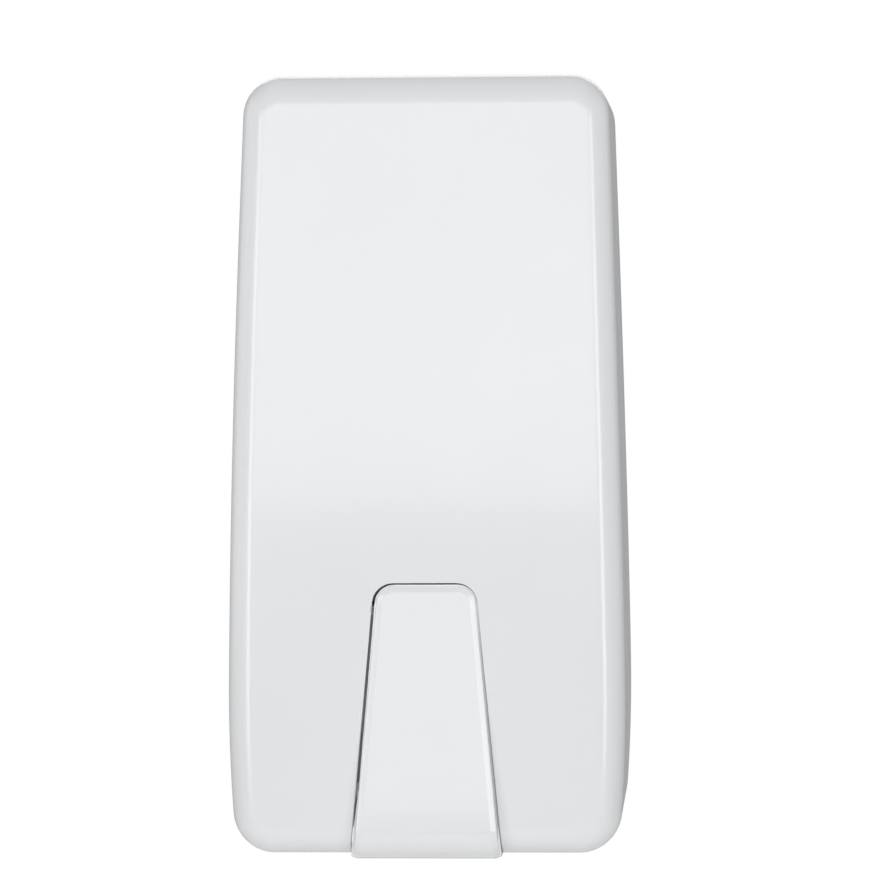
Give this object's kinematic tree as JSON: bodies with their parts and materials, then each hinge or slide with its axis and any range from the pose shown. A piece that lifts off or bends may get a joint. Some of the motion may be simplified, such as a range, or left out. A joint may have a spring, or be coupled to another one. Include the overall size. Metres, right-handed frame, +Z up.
{
  "type": "wall mounted soap dispenser",
  "caption": "Push-lever soap dispenser for a wall, with a hinged locking cover over a refillable reservoir and a piston pump.",
  "frame": {"origin": "centre of the four wall screws, on the wall plane, at half the cover's height", "axes": "+Y into the wall, so the front faces -Y; +Z up; +X to the right as seen from the front"},
  "size_m": [0.12, 0.114, 0.2362],
  "materials": {
    "cover_white": "smooth gloss",
    "white_plastic": "fine matte",
    "grey_plastic": "fine matte",
    "clear_plastic": "translucent moulded",
    "rubber": "matte",
    "steel": "turned",
    "lock_steel": "plated"
  },
  "bodies": {
    "wall_unit": {"back_plate": "white_plastic", "hinge_pins": "steel", "keeper": "grey_plastic", "keeper_screws": "steel", "reservoir_shelf": "white_plastic", "shelf_screws": "steel", "reservoir": "clear_plastic", "reservoir_lid": "grey_plastic", "lid_seal": "rubber", "neck_cap": "white_plastic", "neck_gasket": "rubber", "pump_body": "white_plastic", "inlet_valve": "rubber", "stem_guide": "grey_plastic", "pump_spring": "steel"},
    "piston": {"piston_stem": "white_plastic", "piston_seal": "rubber", "outlet_valve": "rubber", "nozzle_tip": "grey_plastic"},
    "cover": {"cover": "cover_white", "lever_pin": "steel", "pin_clips": "steel", "lock_housing": "lock_steel", "lock_nut": "lock_steel"},
    "lever": {"push_lever": "cover_white", "lift_fork": "grey_plastic", "fork_screws": "steel"},
    "lock": {"lock_barrel": "lock_steel", "lock_cam": "steel", "cam_screw": "steel"}
  },
  "joints": [
    {"name": "cover_open", "type": "hinge", "parent": "wall_unit", "child": "cover", "pos_m": [0, -0.0145, -0.1045], "axis": [1, 0, 0], "range_deg": [0, 90]},
    {"name": "lever_press", "type": "hinge", "parent": "cover", "child": "lever", "pos_m": [0, -0.1, -0.0435], "axis": [1, 0, 0], "range_deg": [0, 15]},
    {"name": "piston_lift", "type": "slide", "parent": "wall_unit", "child": "piston", "axis": [0, 0, 1], "range_m": [0, 0.012], "stiffness_N_per_m": 100, "springref_m": -0.005, "deforming": ["pump_spring"]},
    {"name": "lock_turn", "type": "hinge", "parent": "cover", "child": "lock", "pos_m": [0, -0.03, 0.1055], "axis": [0, 0, -1], "range_deg": [0, 90]}
  ],
  "couplings": [
    {"joint": "piston_lift", "follows": "lever_press", "m_per_rad": 0.04534}
  ]
}
